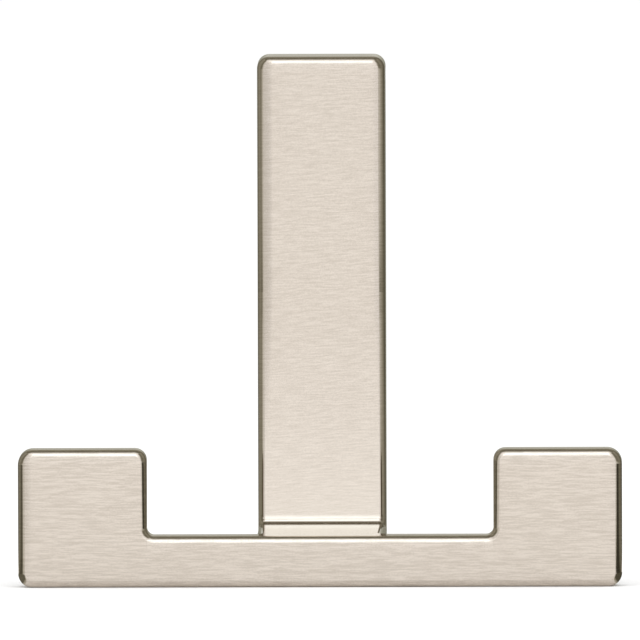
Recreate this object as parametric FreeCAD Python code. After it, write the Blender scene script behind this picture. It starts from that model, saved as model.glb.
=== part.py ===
import FreeCAD, Part
import math
import os
from FreeCAD import Vector

os.makedirs("parts", exist_ok=True)

# Double robe hook for a bathroom wall, in millimetres.
# The wall is the plane y = 0, the hook stands out from it towards -Y, and +Z is up.
# The origin is the middle of the wall fixing, on the wall.

# Front plate: a crossbar whose two ends turn up into squares
front_width = 100.0
front_thickness = 7.0
crossbar_height = 8.55
square_width = 21.3
square_rise = 14.35
square_outer_r = 2.5
square_inner_r = 2.0
square_root_r = 1.2
front_foot_r = 2.35

# Back plate against the wall, and the arm that runs forward from its foot to the crossbar
plate_width = 21.4
plate_height = 86.5
plate_thickness = 12.5
plate_corner_r = 2.0
reach = 50.0
side_draft_deg = 0.2
bend_r = 0.8
arm_root_r = 1.5
edge_r = 1.15

# Pocket in the back of the plate, by the metal that is left round it
front_wall = 4.5
side_wall = 2.8
head_wall = 4.45
foot_wall = 6.82
pocket_corner_r = 1.5
ledge_blunt = 0.6

# Wall bracket in the pocket: a steel strip with both ends folded off the wall
bracket_gauge = 1.5
fold_inner_r = 1.0
fold_deg = 45.0
tab_corner_r = 2.5
wall_hole_r = 2.25
hole_from_fold = 7.0
bracket_side_gap = 0.4
bracket_end_gap = 0.6
tab_front_gap = 0.72
lift_gap = 0.5

# Set screw that is driven up from below against the bracket's lower tab
screw_r = 2.0
screw_flat_tip_r = 0.6
screw_tip_gap = 0.05
screw_sunk = 0.6
screw_end_chamfer = 0.3
socket_across_flats = 2.0
socket_depth = 2.5
thread_gap = 0.05
hole_mouth_chamfer = 0.4

# How far a cutter runs past a face, what counts as no distance, and what turn makes an edge sharp
overrun = 1.0
hair = 0.01
sharp_turn_deg = 30.0

# The pocket, and the tab that the bracket's strip is folded into at each end, as seen along X
pocket_depth = plate_thickness - front_wall
pocket_width = plate_width - 2 * side_wall
pocket_height = plate_height - head_wall - foot_wall
fold = math.radians(fold_deg)
tab_slope = math.tan(fold)
fold_outer_r = fold_inner_r + bracket_gauge
fold_out = fold_outer_r * (1 - math.cos(fold))
fold_rise = fold_outer_r * math.sin(fold)
tab_tip_out = pocket_depth - tab_front_gap - bracket_gauge * math.cos(fold)
tab_rise = fold_rise + (tab_tip_out - fold_out) / tab_slope

# The casting is lifted over the upper tab and lowered until its ledge lies behind it.
# Carried on to the wall, the tab's hidden face meets it at tab_line_rise above the end of the flat strip.
tab_line_rise = fold_rise - fold_out / tab_slope
ledge_rise = tab_line_rise + ledge_blunt / tab_slope
lift = tab_rise - ledge_rise
bracket_width = pocket_width - 2 * bracket_side_gap
bracket_flat = pocket_height - bracket_end_gap - 2 * tab_rise - lift - lift_gap
wall_hole_spacing = bracket_flat - 2 * hole_from_fold

# Heights from the middle of the wall fixing, and places out from the wall
strip_end_z = bracket_flat / 2
tab_tip_z = strip_end_z + tab_rise
tab_line_z = strip_end_z + tab_line_rise
ledge_z = strip_end_z + ledge_rise
pocket_top_z = tab_tip_z + bracket_end_gap
pocket_foot_z = pocket_top_z - pocket_height
foot_z = pocket_foot_z - foot_wall
plate_top_z = foot_z + plate_height
arm_top_z = foot_z + crossbar_height
square_top_z = arm_top_z + square_rise
front_back_y = -reach + front_thickness
screw_from_wall = pocket_depth / 2
draft = math.tan(math.radians(side_draft_deg))


def outline(corners, place):
    """A closed wire through corners (u, v, radius), each corner with a radius rounded by an arc."""
    count = len(corners)
    ends = []
    for i in range(count):
        u, v, r = corners[i]
        here = Vector(u, v, 0)
        back = (Vector(corners[i - 1][0], corners[i - 1][1], 0) - here).normalize()
        on = (Vector(corners[(i + 1) % count][0], corners[(i + 1) % count][1], 0) - here).normalize()
        half = back.getAngle(on) / 2
        run = r / math.tan(half)
        middle = here + (back + on).normalize() * (r / math.sin(half) - r) if r else here
        ends.append((here + back * run, middle, here + on * run))
    edges = []
    for i in range(count):
        start, middle, end = [place(p.x, p.y) for p in ends[i]]
        if corners[i][2]:
            edges.append(Part.Arc(start, middle, end).toShape())
        after = place(ends[(i + 1) % count][0].x, ends[(i + 1) % count][0].y)
        if end.distanceToPoint(after) > hair * hair:
            edges.append(Part.LineSegment(end, after).toShape())
    return Part.Wire(edges)


def prism(corners, place, along):
    """A solid with an outline of corners, drawn by place and pushed along a vector."""
    return Part.Face(outline(corners, place)).extrude(along)


def on_front(y):
    """Draws an outline's (x, z) on the upright plane at y."""
    return lambda x, z: Vector(x, y, z)


def on_side(x):
    """Draws an outline's (distance off the wall, z) on the upright plane at x."""
    return lambda out, z: Vector(x, -out, z)


def on_plan(z):
    """Draws an outline's (x, distance off the wall) on the level plane at z."""
    return lambda x, out: Vector(x, -out, z)


def turn_at(shape, edge):
    """How far, in degrees, the surface turns across an edge: 0 where its two faces run on smoothly."""
    middle = edge.valueAt((edge.FirstParameter + edge.LastParameter) / 2)
    normals = []
    for face in shape.ancestorsOfType(edge, Part.Face):
        u, v = face.Surface.parameter(middle)
        normals.append(face.normalAt(u, v))
    return math.degrees(normals[0].getAngle(normals[1])) if len(normals) == 2 else 0.0


def front_blank():
    """The crossbar and its two upturned squares, in one flat piece with rounded corners."""
    half = front_width / 2
    inner = half - square_width
    right = [
        (half, foot_z, front_foot_r),
        (half, square_top_z, square_outer_r),
        (inner, square_top_z, square_inner_r),
        (inner, arm_top_z, square_root_r),
    ]
    left = [(-x, z, r) for x, z, r in reversed(right)]
    return prism(right + left, on_front(-reach), Vector(0, front_thickness, 0))


def side_blank():
    """The back plate and the arm: one bent profile across the width, its sides drawn in by the mould's draft."""
    arm_end = reach - front_thickness / 2
    profile = [
        (0, foot_z, 0),
        (0, plate_top_z, 0),
        (plate_thickness, plate_top_z, 0),
        (plate_thickness, arm_top_z, bend_r),
        (arm_end, arm_top_z, 0),
        (arm_end, foot_z, 0),
    ]
    bent = prism(profile, on_side(-plate_width), Vector(2 * plate_width, 0, 0))
    wide = plate_width / 2
    narrow = wide - arm_end * draft
    plan = [(-wide, 0, 0), (wide, 0, 0), (narrow, arm_end, 0), (-narrow, arm_end, 0)]
    blank = bent.common(prism(plan, on_plan(foot_z), Vector(0, 0, plate_height)))
    corners = [e for e in blank.Edges if is_top_corner(e)]
    return blank.makeFillet(plate_corner_r, corners)


def is_top_corner(edge):
    """True for the two edges at the top of the plate that run off the wall."""
    box = edge.BoundBox
    at_top = box.ZLength < hair and abs(box.ZMax - plate_top_z) < hair
    return at_top and abs(box.YLength - plate_thickness) < hair


def is_arm_root(edge):
    """True for the two upright inner corners where the arm's sides meet the back of the crossbar."""
    box = edge.BoundBox
    upright = abs(box.ZLength - crossbar_height) < hair
    at_back = box.YLength < hair and abs(box.YMin - front_back_y) < hair
    return upright and at_back and abs(box.XMin) < plate_width / 2


def casting_blank():
    """The whole casting without its pocket: blanks joined, inner corners filled, and every outer edge rounded."""
    joined = front_blank().fuse(side_blank()).removeSplitter()
    rooted = joined.makeFillet(arm_root_r, [e for e in joined.Edges if is_arm_root(e)])
    off_wall = [e for e in rooted.Edges if e.BoundBox.YMin < -hair]
    sharp = [e for e in off_wall if turn_at(rooted, e) > sharp_turn_deg]
    return rooted.makeFillet(edge_r, sharp)


def pocket():
    """The hollow for the bracket, with a sloping ledge at its top that drops in behind the bracket's upper tab."""
    profile = [
        (-overrun, pocket_foot_z, 0),
        (pocket_depth, pocket_foot_z, 0),
        (pocket_depth, pocket_top_z, 0),
        ((pocket_top_z - tab_line_z) * tab_slope, pocket_top_z, 0),
        (ledge_blunt, ledge_z, 0),
        (-overrun, ledge_z, 0),
    ]
    half = pocket_width / 2
    hollow = prism(profile, on_side(-half), Vector(pocket_width, 0, 0))
    mouth = [
        (-half, pocket_foot_z, pocket_corner_r),
        (half, pocket_foot_z, pocket_corner_r),
        (half, pocket_top_z, pocket_corner_r),
        (-half, pocket_top_z, pocket_corner_r),
    ]
    return hollow.common(prism(mouth, on_front(-pocket_depth), Vector(0, pocket_depth + overrun, 0)))


def screw_hole():
    """The hole for the set screw, up through the foot of the plate into the pocket."""
    r = screw_r + thread_gap
    axis = Vector(0, -screw_from_wall, foot_z)
    length = pocket_foot_z - foot_z + overrun
    bore = Part.makeCylinder(r, length, axis)
    mouth = Part.makeCone(r + hole_mouth_chamfer, r, hole_mouth_chamfer, axis)
    return bore.fuse(mouth)


def hook_body():
    """The casting, with its pocket and screw hole."""
    return casting_blank().cut(pocket()).cut(screw_hole())


def bracket_side():
    """The edge of the folded strip, from the middle of the strip up to the upper tab, as (out, z, radius)."""
    thick_out = bracket_gauge * math.cos(fold)
    thick_z = -bracket_gauge * math.sin(fold)
    corner_z = strip_end_z + fold_outer_r * math.tan(fold / 2)
    inner_z = strip_end_z + fold_inner_r * math.tan(fold / 2)
    return [
        (0, corner_z, fold_outer_r),
        (tab_tip_out, tab_tip_z, 0),
        (tab_tip_out + thick_out, tab_tip_z + thick_z, 0),
        (bracket_gauge, inner_z, fold_inner_r),
    ]


def wall_bracket():
    """A strip of steel with a screw hole near each end and both end tabs folded off the wall."""
    upper = bracket_side()
    lower = [(out, -z, r) for out, z, r in reversed(upper)]
    half = bracket_width / 2
    strip = prism(upper + lower, on_side(-half), Vector(bracket_width, 0, 0))
    blank = [
        (-half, -tab_tip_z, tab_corner_r),
        (half, -tab_tip_z, tab_corner_r),
        (half, tab_tip_z, tab_corner_r),
        (-half, tab_tip_z, tab_corner_r),
    ]
    strip = strip.common(prism(blank, on_front(-pocket_depth), Vector(0, pocket_depth, 0)))
    for side in (-1, 1):
        start = Vector(0, 0, side * wall_hole_spacing / 2)
        strip = strip.cut(Part.makeCylinder(wall_hole_r, bracket_gauge, start, Vector(0, -1, 0)))
    return strip


def set_screw():
    """A headless screw: a cone point that bears on the lower tab, and a hex socket in its lower end."""
    tip_z = -tab_line_z - screw_from_wall / tab_slope - screw_tip_gap
    flat_z = tip_z - screw_flat_tip_r / tab_slope
    shoulder_z = tip_z - screw_r / tab_slope
    end_z = foot_z + screw_sunk
    half_section = [
        (0, end_z, 0),
        (screw_r - screw_end_chamfer, end_z, 0),
        (screw_r, end_z + screw_end_chamfer, 0),
        (screw_r, shoulder_z, 0),
        (screw_flat_tip_r, flat_z, 0),
        (0, flat_z, 0),
    ]
    section = Part.Face(outline(half_section, lambda r, z: Vector(r, 0, z)))
    turned = section.revolve(Vector(0, 0, 0), Vector(0, 0, 1), 360)
    socket_r = socket_across_flats / math.sqrt(3)
    hexagon = [
        (socket_r * math.cos(math.radians(60 * i)), socket_r * math.sin(math.radians(60 * i)), 0)
        for i in range(6)
    ]
    socket = prism(hexagon, lambda x, y: Vector(x, y, end_z), Vector(0, 0, socket_depth))
    screw = turned.cut(socket)
    screw.translate(Vector(0, -screw_from_wall, 0))
    return screw


def write(name, shape):
    """Writes one piece, checked to be one sound solid."""
    solid = shape.Solids[0]
    if len(shape.Solids) != 1 or not solid.isValid():
        raise ValueError(name + " is not one sound solid")
    solid.exportStep("parts/" + name + ".step")


write("hook_body", hook_body())
write("wall_bracket", wall_bracket())
write("set_screw", set_screw())
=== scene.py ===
import bpy
import math
from mathutils import Matrix, Vector


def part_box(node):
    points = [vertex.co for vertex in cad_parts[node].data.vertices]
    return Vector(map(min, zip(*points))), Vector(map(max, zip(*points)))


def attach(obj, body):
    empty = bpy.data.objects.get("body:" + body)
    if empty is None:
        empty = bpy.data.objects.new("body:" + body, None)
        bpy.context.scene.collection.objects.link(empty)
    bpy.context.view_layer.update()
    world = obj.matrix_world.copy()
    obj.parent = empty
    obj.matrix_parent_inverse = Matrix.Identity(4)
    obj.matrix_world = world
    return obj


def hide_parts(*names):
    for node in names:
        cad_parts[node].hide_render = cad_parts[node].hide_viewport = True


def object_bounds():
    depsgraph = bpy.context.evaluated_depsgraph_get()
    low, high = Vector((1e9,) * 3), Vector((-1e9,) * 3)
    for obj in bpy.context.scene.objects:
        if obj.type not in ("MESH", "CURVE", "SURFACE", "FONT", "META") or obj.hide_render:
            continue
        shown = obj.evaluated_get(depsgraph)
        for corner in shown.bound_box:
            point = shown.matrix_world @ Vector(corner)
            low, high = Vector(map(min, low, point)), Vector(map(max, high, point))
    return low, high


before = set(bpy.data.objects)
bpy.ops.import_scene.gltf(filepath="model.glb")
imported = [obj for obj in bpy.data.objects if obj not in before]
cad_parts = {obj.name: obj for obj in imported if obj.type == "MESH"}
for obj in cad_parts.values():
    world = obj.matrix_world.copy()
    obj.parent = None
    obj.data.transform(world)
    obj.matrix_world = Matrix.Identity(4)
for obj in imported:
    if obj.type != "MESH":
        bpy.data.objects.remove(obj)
cad_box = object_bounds()

# The casting: zinc alloy, die cast in one piece and nickel plated.
# Its faces are brushed across with a fine belt, which rolls them off a little towards their
# edges; the pocket in its back is left as it came from the mould, with a duller coat of plate.
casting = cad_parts["hook_body"]
foot = cad_box[0].z
crossbar_half = cad_box[1].x
crossbar_top = foot + 0.00855
crossbar_back = -0.0428
square_top = foot + 0.0229
square_inner = crossbar_half - 0.0213
plate_top = cad_box[1].z
plate_half = 0.0107
plate_front = -0.0125
bend_top = crossbar_top + 0.0008
pocket_half = 0.0080
pocket_depth = 0.0081
pocket_low = foot + 0.0066
pocket_high = plate_top - 0.0043

nickel_light = (0.650, 0.585, 0.520, 1)
nickel_dark = (0.540, 0.481, 0.420, 1)
pocket_nickel = (0.47, 0.44, 0.40, 1)
nickel_roughness = (0.13, 0.18)
level_roughness = 0.09
rim_roughness = 0.045
pocket_roughness = 0.55

# How much the belt's lines spread the gloss, and which way: up and down, across the lines.
brushed_spread = 0.85
spread_way = (0.0, 0.05, 1.0)

# How far a face's normal turns up where it counts as level, and to the side on a rounded edge.
level_turn = 0.94
rim_turn = (0.12, 0.97)

# The belt's lines. They break up in layers, each so much weaker than the one before; on the
# plate they slope and wave a little, and fade towards its foot.
line_length = 0.0032
line_width = 0.00025
line_depth = 0.0000015
line_breaks = (4.0, 0.66)
plate_line_slope = 0.05
plate_line_wave = 0.0005
front_contrast = 1.9
plate_contrast = 1.35
plate_foot_contrast = 0.55
plate_calm_below = -0.018
tone_spread = 0.15
grain_share = 0.3

# Each noise: its cells to the metre and its layers of detail.
line_drift = (170.0, 1.0)
nickel_grain = (4500.0, 1.0)
nickel_clouds = (120.0, 2.0)

# Each roll-off: its width from the border and its height there, in metres. The sides of the
# plate get theirs from the first to the second side_roll_rise up, and its foot bows out. The
# slacks are how near a point lies where it counts as on a face.
top_roll = (0.0028, -0.00008)
end_roll = (0.0024, -0.00012)
side_roll = (0.0031, -0.00038)
side_roll_rise = (-0.034, 0.0)
plate_bow = (0.035, 0.0014)
bend_roll = (0.0007, 0.00006)
roll_curve = 2.0
arm_top_tilt = 0.021
plate_front_slack = 0.0006
arm_top_slack = 0.0001


def plug(tree, node, inputs):
    """Gives a node its inputs, each as a value or as another node's output."""
    for key, value in inputs.items():
        if isinstance(value, bpy.types.NodeSocket):
            tree.links.new(value, node.inputs[key])
        else:
            node.inputs[key].default_value = value


def add(tree, kind, inputs=None, **settings):
    """One new shader node with its settings and inputs."""
    node = tree.nodes.new(kind)
    for key, value in settings.items():
        setattr(node, key, value)
    plug(tree, node, inputs or {})
    return node


def maths(tree, operation, first, *others):
    """The result of a sum on numbers or sockets, taken in their order."""
    for other in others or (0.0,):
        first = add(tree, "ShaderNodeMath", {0: first, 1: other}, operation=operation).outputs[0]
    return first


def weighed(tree, share, low, high):
    """The number that lies between low and high by a share."""
    return add(tree, "ShaderNodeMix", {"Factor": share, 2: low, 3: high}).outputs[0]


def mixed(tree, share, low, high):
    """The colour that lies between low and high by a share."""
    inputs = {"Factor": share, 6: low, 7: high}
    return add(tree, "ShaderNodeMix", inputs, data_type="RGBA").outputs[2]


def ranged(tree, value, old=(0.0, 1.0), new=(0.0, 1.0)):
    """A number stretched from its old range to a new one, and held at the ends."""
    inputs = {"Value": value, "From Min": old[0], "From Max": old[1]}
    inputs.update({"To Min": new[0], "To Max": new[1]})
    return add(tree, "ShaderNodeMapRange", inputs).outputs[0]


def noise(tree, place, cells, layers, breaks=0.5):
    """Cloudy noise between 0 and 1."""
    inputs = {"Vector": place, "Scale": cells, "Detail": layers, "Roughness": breaks}
    return add(tree, "ShaderNodeTexNoise", inputs).outputs[0]


def empty_material(name):
    """A new material with a Principled shader: the material, its tree and the shader."""
    material = bpy.data.materials.new(name)
    material.use_nodes = True
    return material, material.node_tree, material.node_tree.nodes["Principled BSDF"]


def place_on(tree):
    """The place on the piece, in metres."""
    return add(tree, "ShaderNodeTexCoord").outputs["Object"]


def parts_of(tree, vector):
    """The X, Y and Z sockets of a vector."""
    return add(tree, "ShaderNodeSeparateXYZ", {0: vector}).outputs


def turn_to(tree, axis):
    """How far a face's normal turns to an axis, either way along it, from 0 to 1."""
    normal = add(tree, "ShaderNodeTexCoord").outputs["Normal"]
    return maths(tree, "ABSOLUTE", parts_of(tree, normal)[axis])


def between(tree, value, low, high):
    """1 where a value lies between two bounds, and 0 elsewhere."""
    above = maths(tree, "GREATER_THAN", value, low)
    return maths(tree, "MULTIPLY", above, maths(tree, "LESS_THAN", value, high))


def on_level_face(tree):
    """1 where a face looks up or down, and 0 where it is upright."""
    return maths(tree, "GREATER_THAN", turn_to(tree, "Z"), level_turn)


def on_upright_rim(tree):
    """1 on the rounded upright edges, and 0 elsewhere."""
    return between(tree, turn_to(tree, "X"), *rim_turn)


def belt_lines(tree, x, y, z):
    """The belt's lines, which run across: thin up an upright face, thin from front to back on a
    level one."""
    place = add(tree, "ShaderNodeCombineXYZ", {0: x, 1: y, 2: z}).outputs[0]
    slow, fast = 1 / line_length, 1 / line_width
    upright, level = (
        add(tree, "ShaderNodeVectorMath", {0: place, 1: cells}, operation="MULTIPLY").outputs[0]
        for cells in ((slow, slow, fast), (slow, fast, slow))
    )
    stretched = mixed(tree, on_level_face(tree), upright, level)
    return noise(tree, stretched, 1.0, *line_breaks)


def rolled(tree, distance, width, height):
    """A height at a border, which runs out in a curve at width from it."""
    near = ranged(tree, distance, old=(0.0, width), new=(1.0, 0.0))
    return maths(tree, "MULTIPLY", maths(tree, "POWER", near, roll_curve), height)


def roll_off(tree, x, y, z):
    """The height of each face, in metres: the belt's roll-off towards the top borders, the ends
    of the front and the sides of the plate, and the bow and bend at the plate's foot."""
    across = maths(tree, "ABSOLUTE", x)
    behind = maths(tree, "GREATER_THAN", y, crossbar_back)
    on_square = maths(tree, "GREATER_THAN", across, square_inner)
    front_top = weighed(tree, on_square, crossbar_top, square_top)
    top = weighed(tree, behind, front_top, plate_top)
    at_top = rolled(tree, maths(tree, "SUBTRACT", top, z), *top_roll)
    at_end = rolled(tree, maths(tree, "SUBTRACT", crossbar_half, across), *end_roll)
    at_side = rolled(tree, maths(tree, "SUBTRACT", plate_half, across), *side_roll)
    at_side = maths(tree, "MULTIPLY", at_side, behind, ranged(tree, z, old=side_roll_rise))
    over_bend = maths(tree, "SUBTRACT", z, bend_top)
    bow, bend = rolled(tree, over_bend, *plate_bow), rolled(tree, over_bend, *bend_roll)
    on_plate = between(tree, y, plate_front - plate_front_slack, plate_front + plate_front_slack)
    at_foot = maths(tree, "MULTIPLY", maths(tree, "ADD", bow, bend), on_plate)
    return maths(tree, "ADD", at_top, at_side, at_end, at_foot)


def brushed_nickel():
    """Satin nickel with belt lines, and the dull plate in the pocket."""
    material, tree, shader = empty_material("brushed_nickel")
    place = place_on(tree)
    x, y, z = parts_of(tree, place)
    behind = maths(tree, "GREATER_THAN", y, crossbar_back)
    in_pocket = maths(
        tree, "MULTIPLY",
        maths(tree, "LESS_THAN", maths(tree, "ABSOLUTE", x), pocket_half),
        maths(tree, "GREATER_THAN", y, -pocket_depth),
        between(tree, z, pocket_low, pocket_high),
    )

    slope = maths(tree, "MULTIPLY", x, behind, -plate_line_slope)
    wave = maths(tree, "MULTIPLY", noise(tree, place, *line_drift), behind, plate_line_wave)
    lines = belt_lines(tree, x, y, maths(tree, "ADD", z, slope, wave))
    pattern = weighed(tree, grain_share, lines, noise(tree, place, *nickel_grain))
    calm = (crossbar_top, plate_calm_below)
    on_plate = ranged(tree, z, old=calm, new=(plate_foot_contrast, plate_contrast))
    contrast = weighed(tree, behind, front_contrast, on_plate)
    pattern = maths(tree, "MULTIPLY", maths(tree, "SUBTRACT", pattern, 0.5), contrast)
    tone = ranged(tree, pattern, old=(-tone_spread, tone_spread))
    colour = mixed(tree, tone, nickel_dark, nickel_light)

    rough = ranged(tree, noise(tree, place, *nickel_clouds), new=nickel_roughness)
    rough = weighed(tree, on_level_face(tree), rough, level_roughness)
    rough = weighed(tree, on_upright_rim(tree), rough, rim_roughness)
    dull = maths(tree, "MULTIPLY", in_pocket, pocket_roughness)

    line_height = maths(tree, "MULTIPLY", lines, line_depth)
    height = maths(tree, "ADD", line_height, roll_off(tree, x, y, z))
    bump = add(tree, "ShaderNodeBump", {"Height": height, "Strength": 1.0, "Distance": 1.0})
    arm_top = between(tree, z, crossbar_top - arm_top_slack, crossbar_top + arm_top_slack)
    tilt = maths(tree, "MULTIPLY", behind, arm_top, -arm_top_tilt)
    lean = add(tree, "ShaderNodeCombineXYZ", {"Y": tilt}).outputs[0]
    leant = {0: bump.outputs[0], 1: lean}
    leant = add(tree, "ShaderNodeVectorMath", leant, operation="ADD").outputs[0]
    normal = add(tree, "ShaderNodeVectorMath", {0: leant}, operation="NORMALIZE").outputs[0]
    tangent = add(tree, "ShaderNodeCombineXYZ", dict(enumerate(spread_way))).outputs[0]

    plug(tree, shader, {
        "Base Color": mixed(tree, in_pocket, colour, pocket_nickel),
        "Roughness": maths(tree, "MAXIMUM", rough, dull),
        "Metallic": 1.0,
        "Anisotropic": brushed_spread,
        "Tangent": tangent,
        "Normal": normal,
    })
    return material


casting.material_slots[0].material = brushed_nickel()

# The wall bracket: zinc plated steel strip, blanked and folded in a press.
# It is screwed to the wall inside the casting's pocket, so only the back shows it.
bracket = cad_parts["wall_bracket"]
zinc_light = (0.68, 0.70, 0.72, 1)
zinc_dark = (0.52, 0.54, 0.57, 1)
zinc_roughness = (0.25, 0.42)
zinc_clouds = (260.0, 5.0)
zinc_grain = (2600.0, 2.0)
zinc_grain_depth = 0.000006


def zinc_plate():
    """Bright zinc with the cloudy spangle of barrel plating."""
    material, tree, shader = empty_material("zinc_plate")
    place = place_on(tree)
    clouds = noise(tree, place, *zinc_clouds)
    grain = noise(tree, place, *zinc_grain)
    bump = {"Height": grain, "Strength": 1.0, "Distance": zinc_grain_depth}
    plug(tree, shader, {
        "Base Color": mixed(tree, clouds, zinc_dark, zinc_light),
        "Roughness": ranged(tree, clouds, new=zinc_roughness),
        "Metallic": 1.0,
        "Normal": add(tree, "ShaderNodeBump", bump).outputs[0],
    })
    return material


bracket.material_slots[0].material = zinc_plate()

# The set screw: hardened steel blacked in oil, with a rolled M4 thread, a cone point above and a
# hex socket below. It is driven up through the foot of the casting against the bracket.
screw_low, screw_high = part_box("set_screw")
black_oxide = (0.045, 0.045, 0.05, 1)
black_sheen = (0.09, 0.09, 0.095, 1)
oxide_roughness = (0.35, 0.55)
oxide_clouds = (900.0, 3.0)
thread_pitch = 0.0007
thread_height = 0.00038
crest_end = 1 / 16
root_start = 3 / 8
rows_per_turn = 14
points_round = 48
point_flat_r = 0.0006
end_chamfer = 0.0003
socket_apothem = 0.001
socket_depth = 0.0025
socket_point = 0.0005
sharp_from_deg = 25


def thread_r(most, turn, z):
    """The screw's radius at a height and a turn: crest, flank or root of the thread."""
    from_crest = abs((z / thread_pitch - turn) % 1 - 0.5)
    down_flank = (from_crest - crest_end) / (root_start - crest_end)
    return most - thread_height * min(max(down_flank, 0), 1)


def hex_r(turn):
    """The radius of the hex socket's outline at a turn."""
    half_side = math.pi / 6
    return socket_apothem / math.cos((turn * math.tau + half_side) % (2 * half_side) - half_side)


def threaded_screw():
    """The screw's points and faces, in rings: up from the middle of the socket's bottom, out over
    the lower end, up the thread and in to the point."""
    most = (screw_high.x - screw_low.x) / 2
    low, high = screw_low.z, screw_high.z
    turns = [k / points_round for k in range(points_round)]
    hexagon = [hex_r(turn) for turn in turns]
    end_r = most - end_chamfer
    rings = [(low + socket_depth, hexagon), (low, hexagon), (low, [end_r] * points_round)]
    step = thread_pitch / rows_per_turn
    for i in range(1, int((high - low) / step)):
        z = low + i * step
        bound = min(end_r + (z - low), point_flat_r + (high - z))
        rings.append((z, [min(thread_r(most, turn, z), bound) for turn in turns]))
    rings.append((high, [point_flat_r] * points_round))

    centre = Vector(((screw_low.x + screw_high.x) / 2, (screw_low.y + screw_high.y) / 2, 0))
    points = [centre + Vector((0, 0, low + socket_depth + socket_point))]
    for z, radii in rings:
        for r, turn in zip(radii, turns):
            angle = turn * math.tau
            points.append(centre + Vector((r * math.cos(angle), r * math.sin(angle), z)))
    points.append(centre + Vector((0, 0, high)))

    faces = []
    for k in range(points_round):
        after = (k + 1) % points_round
        faces.append((0, 1 + after, 1 + k))
        for i in range(len(rings) - 1):
            a = 1 + i * points_round
            b = a + points_round
            faces.append((a + k, a + after, b + after, b + k))
        last = 1 + (len(rings) - 1) * points_round
        faces.append((last + k, last + after, len(points) - 1))
    return points, faces


def mesh_object(name, points, faces, material):
    """A mesh from points and faces, in the scene."""
    mesh = bpy.data.meshes.new(name)
    mesh.from_pydata(points, [], faces)
    mesh.materials.append(material)
    thing = bpy.data.objects.new(name, mesh)
    bpy.context.scene.collection.objects.link(thing)
    return thing


def blacked_steel():
    """Black oxide, with the dull sheen that the oil leaves."""
    material, tree, shader = empty_material("blacked_steel")
    clouds = noise(tree, place_on(tree), *oxide_clouds)
    plug(tree, shader, {
        "Base Color": mixed(tree, clouds, black_oxide, black_sheen),
        "Roughness": ranged(tree, clouds, new=oxide_roughness),
        "Metallic": 1.0,
    })
    return material


thread = mesh_object("threaded_screw", *threaded_screw(), blacked_steel())
thread.data.shade_smooth()
thread.data.set_sharp_from_angle(angle=math.radians(sharp_from_deg))
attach(thread, "root")
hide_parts("set_screw")

# The studio: a pale floor under a soft lamp, and what the metal mirrors: a lit arch overhead, a
# standing card at each side with a flap that lies on the floor, a flap behind, and a strip of
# dark paper at each toe, the end of the crossbar's foot.
white = (1, 1, 1, 1)
floor_in_metal = (0.90, 0.892, 0.876, 1)
floor_reach = 6.0
floor_roughness = 0.9
lamp_level = 1.9
lamp_size = (1.7, 0.62)
lamp_up_deg = 38.0
lamp_distance = 1.2
dim_tint = (1.0, 0.95, 0.66, 1)
bright_tint = (0.90, 1.0, 1.04, 1)
bright_from = 1.4
card_steps = 3
card_distance = 1.4
card_knee = 0.13
card_height = 2.2
flap_lift = 0.0005
flap_start = 0.08
flap_clear = 0.06
flap_middle = 0.8

# The side cards: degrees from the front, and the light at the flap's start, at the card's foot,
# at its knee and at its top.
left_levels = (
    (7, 0.98, 1.12, 1.22, 2.0), (11, 0.88, 1.02, 1.14, 2.0), (16, 0.82, 0.92, 1.02, 1.8),
    (34, 0.80, 0.86, 0.85, 1.2), (42, 0.62, 0.76, 0.50, 0.6), (47, 0.16, 0.66, 0.30, 0.3),
    (56, 0.09, 0.52, 0.22, 0.2), (64, 0.16, 0.38, 0.22, 0.2), (75, 0.23, 0.28, 0.25, 0.4),
    (90, 0.29, 0.38, 0.36, 0.4), (112, 0.23, 0.32, 0.32, 0.4), (135, 0.12, 0.20, 0.22, 0.3),
    (165, 0.30, 0.30, 0.30, 0.3),
)
right_levels = (
    (11, 1.12, 1.14, 1.24, 2.0), (23, 1.05, 1.06, 1.10, 1.6), (29, 0.60, 0.95, 0.70, 0.9),
    (36, 0.06, 0.85, 0.30, 0.3), (58, 0.05, 0.62, 0.22, 0.2), (64, 0.16, 0.55, 0.25, 0.3),
    (75, 0.23, 0.44, 0.30, 0.4), (98, 0.21, 0.27, 0.28, 0.4), (118, 0.14, 0.16, 0.18, 0.3),
    (135, 0.10, 0.13, 0.15, 0.3), (165, 0.30, 0.30, 0.30, 0.3),
)
back_span_deg = (150, 210)
back_light = 0.25

# The arch: degrees up from the front, and its light.
arch_radius = 2.2
arch_half_width = 1.4
arch_levels = (
    (-1.2, 1.22), (4, 1.26), (12, 1.75), (22, 2.25), (44, 2.2), (58, 1.2), (67, 0.8), (76, 0.25),
    (104, 0.2), (131, 0.45), (176.5, 0.6), (179, 0.35), (181.2, 0.25),
)

# The strips of paper: beside the crossbar they start at toe_inner, and in front of toe_front
# their inner border runs out from the first to the second toe_side.
left_paper = 0.17
right_paper = 0.11
toe_light = 0.70
toe_lift = 0.0002
toe_y = (-0.070, -0.020)
toe_front = -0.0525
toe_inner = 0.0465
toe_side = (0.0490, 0.0535)
toe_outer = 0.0855
toe_fade = 0.0011


def glow(name):
    """A card's material: it gives off the light held at its points, warm where dim and cool
    where bright."""
    material = bpy.data.materials.new(name)
    material.use_nodes = True
    material.cycles.emission_sampling = "NONE"
    tree = material.node_tree
    tree.nodes.clear()
    level = add(tree, "ShaderNodeAttribute", attribute_name="level").outputs["Fac"]
    colour = mixed(tree, level, dim_tint, white)
    colour = mixed(tree, maths(tree, "SUBTRACT", level, bright_from), colour, bright_tint)
    shine = add(tree, "ShaderNodeEmission", {"Color": colour, "Strength": level})
    add(tree, "ShaderNodeOutputMaterial", {"Surface": shine.outputs[0]})
    return material


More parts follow.
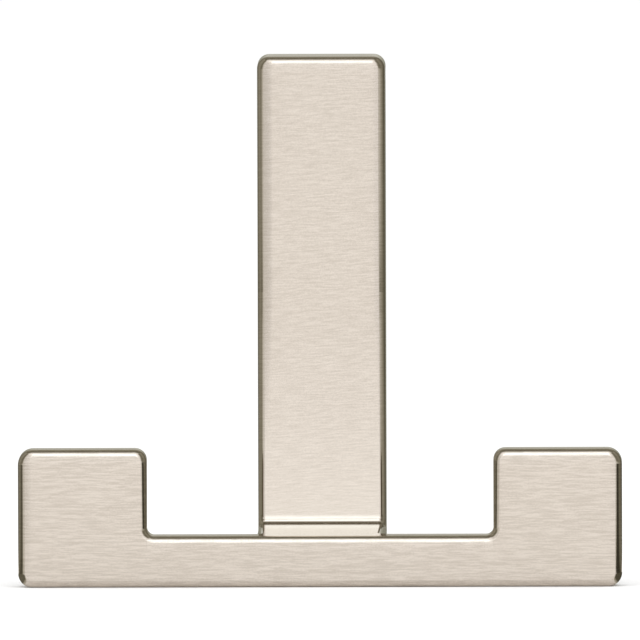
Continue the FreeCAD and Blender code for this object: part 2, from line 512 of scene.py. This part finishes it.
def card(name, levels, rows_at):
    """A bent card: each level is a place along it and the light at each point across it, and
    rows_at gives the points across it at a place."""
    points, lights = [], []
    for i in range(len(levels) - 1):
        start, end = Vector(levels[i]), Vector(levels[i + 1])
        is_last = i == len(levels) - 2
        for k in range(card_steps + is_last):
            place, *row_lights = start.lerp(end, k / card_steps)
            row = rows_at(place)
            points += row
            lights += row_lights
    wide = len(row)
    faces = []
    for i in range(len(points) // wide - 1):
        for k in range(wide - 1):
            a = i * wide + k
            faces.append((a, a + 1, a + 1 + wide, a + wide))
    thing = mesh_object(name, points, faces, glow(name))
    held = thing.data.attributes.new("level", "FLOAT", "POINT")
    held.data.foreach_set("value", lights)
    for ray in ("camera", "diffuse", "shadow", "transmission", "volume_scatter"):
        setattr(thing, "visible_" + ray, False)


def way_to(side, degrees):
    """The level way at so many degrees from the front, towards one side."""
    angle = math.radians(degrees)
    return Vector((side * math.sin(angle), -math.cos(angle), 0))


def upright_rows(side):
    """A side card's points, from the floor over its knee to its top."""
    def rows(degrees):
        way = way_to(side, degrees) * card_distance
        return [way + Vector((0, 0, z)) for z in (foot, card_knee, card_height)]
    return rows


def flap_rows(side):
    """The points of a side card's flap, which lies just over the floor and clear of the hook."""
    def rows(degrees):
        low = Vector((0, 0, foot + flap_lift))
        start = max(flap_start, flap_clear / math.sin(math.radians(degrees)))
        way = way_to(side, degrees)
        return [way * reach + low for reach in (start, flap_middle, card_distance)]
    return rows


def back_rows(degrees):
    """The points of the flap behind, under the arch's far end."""
    low = Vector((0, 0, foot + flap_lift))
    return [way_to(1, degrees) * reach + low for reach in (flap_start, arch_radius)]


def toe_rows(side):
    """The points of a strip of paper, at a share of its length from the front."""
    def rows(share):
        y = toe_y[0] + (toe_y[1] - toe_y[0]) * share
        inner = toe_inner if y > toe_front else min(toe_side[0] + toe_front - y, toe_side[1])
        reach = (inner, inner + toe_fade, toe_outer)
        return [Vector((side * x, y, foot + toe_lift)) for x in reach]
    return rows


def arch_rows(degrees):
    """The arch's points, at its left border and its right one."""
    angle = math.radians(degrees)
    y, z = -arch_radius * math.cos(angle), arch_radius * math.sin(angle)
    return [(-arch_half_width, y, z), (arch_half_width, y, z)]


sides = ((-1, "left", left_levels, left_paper), (1, "right", right_levels, right_paper))
for side, name, levels, paper in sides:
    standing = [(degrees, far, knee, top) for degrees, near, far, knee, top in levels]
    lying = [(degrees, near, near, far) for degrees, near, far, knee, top in levels]
    card(name + "_card", standing, upright_rows(side))
    card(name + "_flap", lying, flap_rows(side))
    card(name + "_toe", [(share, toe_light, paper, paper) for share in (0, 1)], toe_rows(side))
card("back_flap", [(degrees, back_light, back_light) for degrees in back_span_deg], back_rows)
card("arch", [(degrees, light, light) for degrees, light in arch_levels], arch_rows)

floor_material, floor_tree, floor_shader = empty_material("pale_floor")
in_metal = add(floor_tree, "ShaderNodeLightPath").outputs["Is Glossy Ray"]
plug(floor_tree, floor_shader, {
    "Base Color": mixed(floor_tree, in_metal, white, floor_in_metal),
    "Roughness": floor_roughness,
    "Specular IOR Level": 0.0,
})
floor_corners = [
    (x * floor_reach, y * floor_reach, foot) for x, y in ((-1, -1), (1, -1), (1, 1), (-1, 1))
]
mesh_object("floor", floor_corners, [(0, 1, 2, 3)], floor_material)

world = bpy.data.worlds.new("white_studio")
bpy.context.scene.world = world
world.use_nodes = True
world.cycles.sampling_method = "NONE"
backdrop = world.node_tree.nodes["Background"]
plug(world.node_tree, backdrop, {"Color": white, "Strength": 1.0})

lamp_data = bpy.data.lights.new("soft_lamp", "AREA")
lamp_data.shape = "RECTANGLE"
lamp_data.size, lamp_data.size_y = lamp_size
lamp_data.energy = lamp_level * math.pi * lamp_size[0] * lamp_size[1]
lamp = bpy.data.objects.new("soft_lamp", lamp_data)
lamp_up = math.radians(lamp_up_deg)
lamp_way = Vector((0, -math.cos(lamp_up), math.sin(lamp_up)))
lamp.location = lamp_way * lamp_distance
lamp.rotation_mode = "QUATERNION"
lamp.rotation_quaternion = (-lamp_way).to_track_quat("-Z", "Y")
lamp.visible_camera = False
lamp.visible_glossy = False
bpy.context.scene.collection.objects.link(lamp)

# The camera: a long lens from well in front, a little above and a touch to the right.
# It shows the hook's front at pixels_per_metre, in a picture that is frame_pixels wide.
camera_aim = Vector((0.0001, -0.05, foot + 0.0443))
camera_distance = 4.5
camera_up_deg = 2.7
camera_right_deg = 0.55
camera_roll_deg = -0.165
camera_far_end = 100.0
sensor_width = 36.0
pixels_per_metre = 6045.0
frame_pixels = 640
camera_data = bpy.data.cameras.new("camera")
camera_data.sensor_width = sensor_width
camera_data.lens = pixels_per_metre * camera_distance * sensor_width / frame_pixels
camera_data.clip_end = camera_far_end
camera = bpy.data.objects.new("camera", camera_data)
up, right = math.radians(camera_up_deg), math.radians(camera_right_deg)
back = Vector((math.sin(right) * math.cos(up), -math.cos(right) * math.cos(up), math.sin(up)))
roll = Matrix.Rotation(math.radians(camera_roll_deg), 4, "Z")
turned = back.to_track_quat("Z", "Y").to_matrix().to_4x4() @ roll
camera.matrix_world = Matrix.Translation(camera_aim + back * camera_distance) @ turned
bpy.context.scene.collection.objects.link(camera)
bpy.context.scene.camera = camera
bpy.context.scene.view_settings.view_transform = "Standard"
